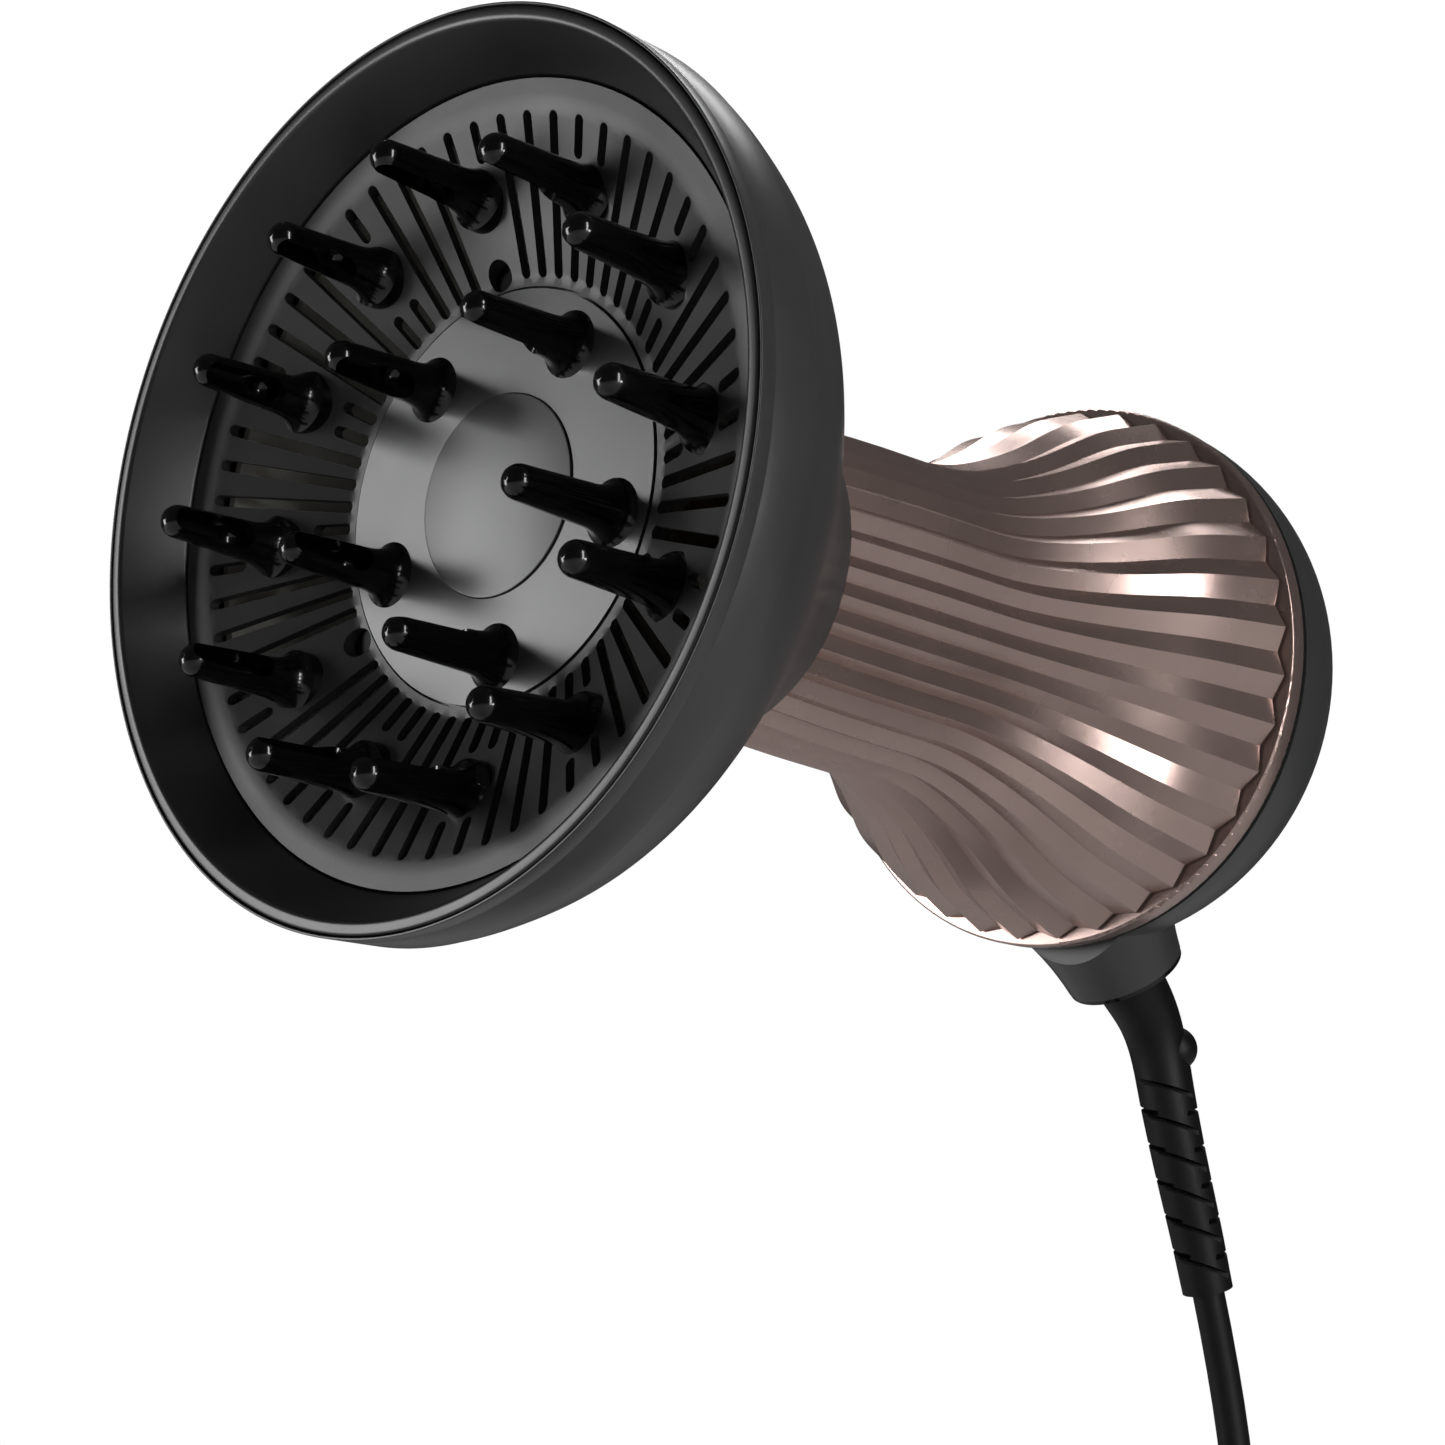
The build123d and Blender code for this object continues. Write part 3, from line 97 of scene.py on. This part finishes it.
def soft_box(name, place, target, width, height, power, tint="#ffffff"):
    """A rectangular studio lamp aimed at a point."""
    lamp = bpy.data.lights.new(name, "AREA")
    lamp.shape = "RECTANGLE"
    lamp.size, lamp.size_y = width, height
    lamp.energy = power
    lamp.color = srgb(tint)[:3]
    holder = bpy.data.objects.new(name, lamp)
    bpy.context.scene.collection.objects.link(holder)
    aim(holder, place, target)


HEAD = (0.0, RIM + 0.02, 0.0)
BULB = (0.0, RIM + 0.19, 0.0)
soft_box("key_right", (1.00, 0.00, -0.50), BULB, 0.25, 0.8, 16.0)
soft_box("front_left", (-0.95, -0.95, 0.05), HEAD, 0.35, 0.9, 9.0)
soft_box("strip_right", (1.10, -0.30, 0.20), BULB, 0.12, 0.9, 6.0)
soft_box("top_edge", (-0.25, 0.45, 1.00), BULB, 0.8, 0.25, 5.0)
soft_box("back_edge", (-0.60, 0.75, -0.75), BULB, 0.35, 1.0, 18.0)

world = bpy.data.worlds.new("studio")
bpy.context.scene.world = world
world.use_nodes = True
sky = world.node_tree
seen = sky.nodes.new("ShaderNodeLightPath")
white = sky.nodes["Background"]
white.inputs["Color"].default_value = srgb("#ffffff")
white.inputs["Strength"].default_value = 1.0
dim = sky.nodes.new("ShaderNodeBackground")
dim.inputs["Color"].default_value = srgb("#ffffff")
dim.inputs["Strength"].default_value = 0.045
mix = sky.nodes.new("ShaderNodeMixShader")
sky.links.new(seen.outputs["Is Camera Ray"], mix.inputs[0])
sky.links.new(dim.outputs[0], mix.inputs[1])
sky.links.new(white.outputs[0], mix.inputs[2])
sky.links.new(mix.outputs[0], sky.nodes["World Output"].inputs["Surface"])


# Mains cord. A round two-core lead in soft black PVC, extruded in one length: it leaves the
# strain relief, falls to the floor, and its spare length is a tied coil with the plug beside.
CORD_D = 7.3 * MM
TIE_T = 0.9 * MM
COIL_CENTRE = (-29.0 * MM, 45.0 * MM)
COIL_R = 40.2 * MM
TURN_LIFT = 7.35 * MM


def add(tree, kind, **settings):
    """Adds a node. A setting is named for a socket, or _0, _1 for its number."""
    node = tree.nodes.new("ShaderNode" + kind)
    for key, value in settings.items():
        socket = node.inputs[int(key[1:])] if key[0] == "_" else node.inputs[key.replace("_", " ")]
        if isinstance(value, bpy.types.NodeSocket):
            tree.links.new(value, socket)
        else:
            socket.default_value = value
    return node


def blank(name, **values):
    """A new material with its Principled shader's plain values set."""
    material = bpy.data.materials.new(name)
    material.use_nodes = True
    shader = material.node_tree.nodes["Principled BSDF"]
    for key, value in values.items():
        shader.inputs[key.replace("_", " ")].default_value = value
    return material, material.node_tree, shader


def grained(name, dark, light, rough, grain_mm, bump_mm, ior=1.5, **values):
    """A moulded or sprayed surface: two close tones, cloudy roughness and a fine grain."""
    material, tree, shader = blank(name, IOR=ior, **values)
    place = add(tree, "TexCoord").outputs["Object"]
    cloud = add(tree, "TexNoise", Vector=place, Scale=1 / (18 * MM), Detail=3.0)
    fine = add(tree, "TexNoise", Vector=place, Scale=1 / (grain_mm * MM), Detail=4.0)
    tone = add(tree, "MixRGB", _0=cloud.outputs["Fac"], _1=srgb(dark), _2=srgb(light))
    spread = add(tree, "MapRange", Value=cloud.outputs["Fac"])
    spread.inputs["To Min"].default_value = rough * 0.88
    spread.inputs["To Max"].default_value = rough * 1.12
    bump = add(tree, "Bump", Height=fine.outputs["Fac"], Distance=bump_mm * MM, Strength=1.0)
    tree.links.new(tone.outputs[0], shader.inputs["Base Color"])
    tree.links.new(spread.outputs[0], shader.inputs["Roughness"])
    tree.links.new(bump.outputs[0], shader.inputs["Normal"])
    return material


def give(piece, material, body="dryer"):
    """Puts one material on a piece, and puts a piece that is not from the CAD file on its body."""
    piece.data.materials.clear()
    piece.data.materials.append(material)
    if "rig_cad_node" not in piece:
        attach(piece, body)
    return piece


def eased_step(x):
    """0 below 0, 1 above 1, smooth between."""
    x = np.clip(x, 0, 1)
    return x * x * (3 - 2 * x)


cord_pvc = grained(
    "extruded_black_pvc", "#050505", "#080808", 0.5, 0.5, 0.02, 1.52, Specular_IOR_Level=0.25
)
cord_route = [
    (0.0, 0.1429, -0.1325), (0.0, 0.1546, -0.1694), (0.0, 0.1512, -0.2083),
    (0.0, 0.1323, -0.2353), (0.0, 0.1086, -0.24635), (0.007, 0.083, -0.24635),
    (0.0165, 0.061, -0.24635),
]
tail_route = [(0.0114, 0.013, -0.2315), (0.014, -0.013, -0.240), (0.014, -0.039, -0.240)]

# Six turns clockwise from above. Each turn moves to its next place in the stack over a sixth
# of a turn of its own, so that no two turns cross while they move.
# A place is a sideways step in cord widths and a level, and a turn has 24 points.
TURNS = 6
places = np.array([(1, 0), (0, 0), (-1, 0), (-0.5, 1), (0.5, 1), (0, 2)])
zones = np.array([300, 300, 240, 180, 120]) / 360
turn = np.arange(TURNS * 24 + 1) / 24
whole = np.minimum(turn.astype(int), TURNS - 1)
share = turn - whole
moves = np.append(zones, 9.0)[whole]
after = places[np.minimum(whole + 1, TURNS - 1)]
step = eased_step((share - moves) * 6)[:, None]
place = places[whole] * (1 - step) + after * step
angle = 2 * np.pi * turn
radius = COIL_R + place[:, 0] * CORD_D
lift = TIE_T * (0.5 + 0.5 * np.cos(np.clip((share - 0.25) * 3, -1, 1) * np.pi))
height = FLOOR + CORD_D / 2 + lift + place[:, 1] * TURN_LIFT
coil_points = np.stack([
    COIL_CENTRE[0] + radius * np.cos(angle), COIL_CENTRE[1] - radius * np.sin(angle), height,
], 1)
line = cord_route + [tuple(p) for p in coil_points] + tail_route
curve = bpy.data.curves.new("mains_cord", "CURVE")
curve.dimensions = "3D"
spline = curve.splines.new("NURBS")
spline.points.add(len(line) - 1)
spline.points.foreach_set("co", np.hstack([np.array(line), np.ones((len(line), 1))]).ravel())
spline.order_u = 3
spline.use_endpoint_u = True
spline.resolution_u = 8
curve.bevel_depth = CORD_D / 2
curve.bevel_resolution = 6
curve.use_fill_caps = True
mains_cord = bpy.data.objects.new("mains_cord", curve)
bpy.context.scene.collection.objects.link(mains_cord)
give(mains_cord, cord_pvc)
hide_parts("cord", "cord_coil", "cord_tail")

# Coil tie. A strip of black hook-and-loop tape closed round the six turns. Its surface is
# rough and matt, so it reads as cloth beside the smoother cord.


def refined(node, material, angle=28.0, body="dryer"):
    """A merged copy of a CAD piece that stands for it; edges sharper than the angle stay sharp."""
    source = frame["nodes"][node]
    mesh = source.data.copy()
    mesh.name = node + "_finished"
    tidy = bmesh.new()
    tidy.from_mesh(mesh)
    bmesh.ops.remove_doubles(tidy, verts=tidy.verts, dist=2e-6)
    bmesh.ops.dissolve_degenerate(tidy, dist=1e-6, edges=tidy.edges)
    for edge in tidy.edges:
        edge.smooth = len(edge.link_faces) == 2 and edge.calc_face_angle(0) < math.radians(angle)
    tidy.to_mesh(mesh)
    tidy.free()
    for polygon in mesh.polygons:
        polygon.use_smooth = True
    piece = bpy.data.objects.new(node + "_finished", mesh)
    bpy.context.scene.collection.objects.link(piece)
    give(piece, material, body)
    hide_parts(node)
    return piece


tape = grained("woven_black_tape", "#101010", "#1c1c1c", 0.9, 0.35, 0.15, 1.5)
tie = refined("coil_tie", tape)

# Plug and strain relief. A flat two-pin plug moulded onto the cord in black PVC, with plated
# brass pins, and the grooved PVC sleeve that lets the cord bend where it leaves the collar.
plug_pvc = grained("moulded_black_pvc", "#0a0a0a", "#101010", 0.5, 0.6, 0.03, 1.52)
plug = refined("plug_body", plug_pvc)
nickel = grained("plated_brass", "#b5b2a8", "#c8c5bb", 0.22, 0.8, 0.01, 1.5, Metallic=1.0)
pins = refined("plug_pins", nickel)
relief_pvc = grained(
    "moulded_relief_pvc", "#050505", "#090909", 0.48, 0.5, 0.02, 1.52, Specular_IOR_Level=0.25
)
relief = refined("strain_relief", relief_pvc, 30)

# Head shell. A flared cover moulded in glass-filled nylon and sprayed satin dark grey, thin
# at its front edge where it wraps the lip, with its rear mouth round the pleated body.


def grid_mesh(name, points, wrap_u=True, wrap_v=False):
    """A quad mesh from an array of points, u along the first axis and v along the second."""
    nu, nv = points.shape[:2]
    u = np.arange(nu if wrap_u else nu - 1)
    v = np.arange(nv if wrap_v else nv - 1)
    a, b = [m.ravel() for m in np.meshgrid(u, v, indexing="ij")]
    a2, b2 = (a + 1) % nu, (b + 1) % nv
    faces = np.stack([a * nv + b, a2 * nv + b, a2 * nv + b2, a * nv + b2], 1)
    mesh = bpy.data.meshes.new(name)
    mesh.from_pydata(points.reshape(-1, 3).tolist(), [], faces.tolist())
    tidy = bmesh.new()
    tidy.from_mesh(mesh)
    bmesh.ops.remove_doubles(tidy, verts=tidy.verts, dist=1e-7)
    bmesh.ops.recalc_face_normals(tidy, faces=tidy.faces)
    tidy.to_mesh(mesh)
    tidy.free()
    mesh.shade_smooth()
    piece = bpy.data.objects.new(name, mesh)
    bpy.context.scene.collection.objects.link(piece)
    return piece


def rounded(corners, count=6):
    """A closed outline from (radius, depth, corner radius) points, corners rounded, in mm."""
    corners = np.array(corners, float)
    out = []
    for i, (r, d, fillet) in enumerate(corners):
        here = np.array([r, d])
        back, on = corners[i - 1][:2] - here, corners[(i + 1) % len(corners)][:2] - here
        back_l, on_l = np.linalg.norm(back), np.linalg.norm(on)
        cut = min(fillet, 0.45 * back_l, 0.45 * on_l)
        if cut < 1e-6:
            out.append(here)
            continue
        start, end = here + back / back_l * cut, here + on / on_l * cut
        t = np.linspace(0, 1, count)[:, None]
        out.extend((1 - t) ** 2 * start + 2 * t * (1 - t) * here + t**2 * end)
    return np.array(out)


def lathe(name, outline, segments=360):
    """A ring: the closed outline of (radius, depth) in mm turned about the dryer's axis."""
    angle = np.linspace(0, 2 * np.pi, segments, endpoint=False)[:, None]
    r, d = outline[:, 0][None], outline[:, 1][None]
    points = np.stack([-r * np.sin(angle), RIM / MM + d + 0 * angle, -r * np.cos(angle)], -1)
    return grid_mesh(name, points * MM, True, True)


def eased(keys, count):
    """A smooth curve through (radius, depth) keys, evenly sampled (Catmull-Rom)."""
    keys = np.array(keys, float)
    ends = np.vstack([2 * keys[0] - keys[1], keys, 2 * keys[-1] - keys[-2]])
    t = np.linspace(0, len(keys) - 1 - 1e-9, count)
    i = t.astype(int)
    f = (t - i)[:, None]
    p0, p1, p2, p3 = ends[i], ends[i + 1], ends[i + 2], ends[i + 3]
    return 0.5 * (2 * p1 + (p2 - p0) * f + (2 * p0 - 5 * p1 + 4 * p2 - p3) * f**2
                  + (3 * p1 - p0 - 3 * p2 + p3) * f**3)


SHELL_WALL = 2.3
SHELL_KEYS = [
    (81, 12), (79.4, 17.4), (76.2, 25), (72.3, 30.4), (67.9, 35.5), (59.5, 45), (47, 60),
    (39.5, 70), (33.9, 80),
]
satin_grey = grained("sprayed_satin_grey", "#323233", "#3a3a3b", 0.36, 0.25, 0.012, 1.5)
outer = eased(SHELL_KEYS, 90)
slope = np.gradient(outer, axis=0)
normal = np.stack([-slope[:, 1], slope[:, 0]], 1) / np.linalg.norm(slope, axis=1)[:, None]
inner = (outer + SHELL_WALL * normal)[::-1]
front = rounded([
    (78.6, 12, 0), (78.6, 2.8, 0), (80.55, 2.8, 0), (80.55, 0, 0.15), (81, 0, 0.4),
    (81, 3.0, 0), (80.92, 3.15, 0), (81, 3.3, 0),
])
shell = lathe("head_shell_cover", np.vstack([front, outer, inner[:-1]]))
give(shell, satin_grey)
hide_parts("head_shell")

# Bowl wall. The bowl's smooth inner cone with its rounded lip, moulded in heat-resistant
# black nylon; the lip is polished by the mould.
bowl_black = grained("moulded_bowl_nylon", "#1d1d1e", "#242425", 0.34, 0.3, 0.01, 1.52)
wall = rounded([
    (78, 0, 0.7), (72, 10.8, 0.4), (72, 13.7, 0), (68.5, 13.7, 0.2), (68.5, 15.6, 0.2),
    (73.9, 15.6, 0.3), (74.15, 10.8, 0), (78.35, 2.8, 0), (80.3, 2.8, 0.1), (80.3, 0, 0.7),
])
liner = lathe("bowl_wall", wall)
give(liner, bowl_black)
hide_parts("bowl_liner")

# Slotted plate, dish and disc. The air comes out of sixty slots in the sloping plate, which
# is moulded in black nylon; the dish in its middle and its cover are a little smoother.
# Their grey is lighter than the plate's: a painted reflection of the bright surround.
plate_black = grained("moulded_plate_nylon", "#262627", "#2e2e2f", 0.42, 0.35, 0.02, 1.52)
plate = refined("slot_plate", plate_black, 25)
# The dish's lighter grey is a painted reflection, not a different colour of nylon.
dish_painted_reflection_grey = grained("moulded_dish_nylon_painted_reflection", "#343435", "#3b3b3c", 0.30, 0.3, 0.008, 1.52)
dish = refined("centre_dish", dish_painted_reflection_grey, 25)
disc_outline = rounded([(0, 22.35, 0), (18.5, 22.6, 0.3), (18.5, 24, 0.1), (0, 24, 0)])
disc = lathe("dish_disc", disc_outline)
give(disc, dish_painted_reflection_grey)
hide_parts("centre_disc")

# Fingers. Twelve on the plate and five on the dish, hollow and moulded in gloss black. Each
# has a long opening towards the axis, and its polish gives small hard highlights.
gloss_black = grained("moulded_gloss_black", "#050505", "#080808", 0.16, 0.8, 0.003, 1.53)
outer_set = refined("outer_fingers", gloss_black, 40)
inner_set = refined("inner_fingers", gloss_black, 40)

# Pleated body. A waisted shell of thirty-six straight folds, moulded and then sprayed with
# a satin rose-gold metallic lacquer; each fold has a sharp ridge and a sharp valley.
rose = grained("rose_gold_lacquer", "#a8928c", "#b9a29b", 0.27, 0.2, 0.01, 1.5, Metallic=0.85)
body = refined("pleated_body", rose, 9)
accent = refined("accent_ring", rose, 25)

# Rear ring, cap and controls. The ring and the pull-off cap are sprayed like the head shell,
# the slider, button and collar are gloss black, and a rubber seal fills the joint.
black_rubber = grained("moulded_black_rubber", "#060606", "#0a0a0a", 0.6, 0.4, 0.02, 1.52)
refined("gasket_ring", black_rubber, 25)
refined("rear_ring", satin_grey, 25)
refined("collar_cap", gloss_black, 25)
refined("control_panel", satin_grey, 25)
refined("speed_slider", gloss_black, 25, "slider")
refined("cool_shot_button", gloss_black, 25, "button")
refined("inlet_cap", satin_grey, 25, "cap")

# Inside. Screws, motor, fan, heater, boards and leads, which show only through gaps, each
# in the material that such a piece is made of. The plate's screws are blackened steel.
steel = grained("zinc_plated_steel", "#8e9092", "#a3a5a7", 0.32, 0.6, 0.01, 1.5, Metallic=1.0)
white_nylon = grained("moulded_white_nylon", "#b9b7ae", "#c6c4bb", 0.5, 0.5, 0.02, 1.53)
mica_tan = grained("pressed_mica", "#8d7a55", "#a8946c", 0.6, 1.2, 0.05, 1.58)
wire_dark = grained("oxidised_wire", "#3d3530", "#554a43", 0.45, 0.4, 0.02, 1.5, Metallic=1.0)
board_green = grained("lacquered_board", "#0d3b22", "#12482b", 0.3, 1.0, 0.01, 1.5)
part_black = grained("moulded_component", "#141416", "#1c1c1f", 0.4, 0.5, 0.02, 1.5)
lead_brown = grained("extruded_lead", "#4a2410", "#572c15", 0.45, 0.5, 0.01, 1.5)
black_oxide = grained("black_oxide_steel", "#101010", "#1a1a1a", 0.45, 0.6, 0.01, 1.5, Metallic=1.0)
INSIDE = {
    "plate_screws": black_oxide, "housing_screws": steel, "motor_screws": steel, "motor_shaft": steel,
    "filter_mesh": steel, "motor": steel, "fan_housing": white_nylon, "air_guide": white_nylon,
    "impeller": white_nylon, "mica_frame": mica_tan, "heater_sleeve": mica_tan,
    "heater_coils": wire_dark, "switch_board": board_green, "control_board": board_green,
    "thermostat": part_black, "thermal_fuse": part_black, "slide_switch": part_black,
    "push_switch": part_black, "board_parts": part_black, "supply_leads": lead_brown,
}
for node, material in INSIDE.items():
    give(frame["nodes"][node], material)

# Floor. A plain pale disc under the coil, well below the view.
angle = np.linspace(0, 2 * np.pi, 96, endpoint=False)
rings = np.array([0.0001, 0.4, 1.2])
floor_points = np.stack([
    rings[None] * np.cos(angle)[:, None], rings[None] * np.sin(angle)[:, None],
    np.full((96, 3), FLOOR),
], -1)
floor = grid_mesh("studio_floor", floor_points)
pale = grained("matt_pale_floor", "#e8e8e8", "#f0f0f0", 0.8, 2.0, 0.02)
floor.data.materials.append(pale)
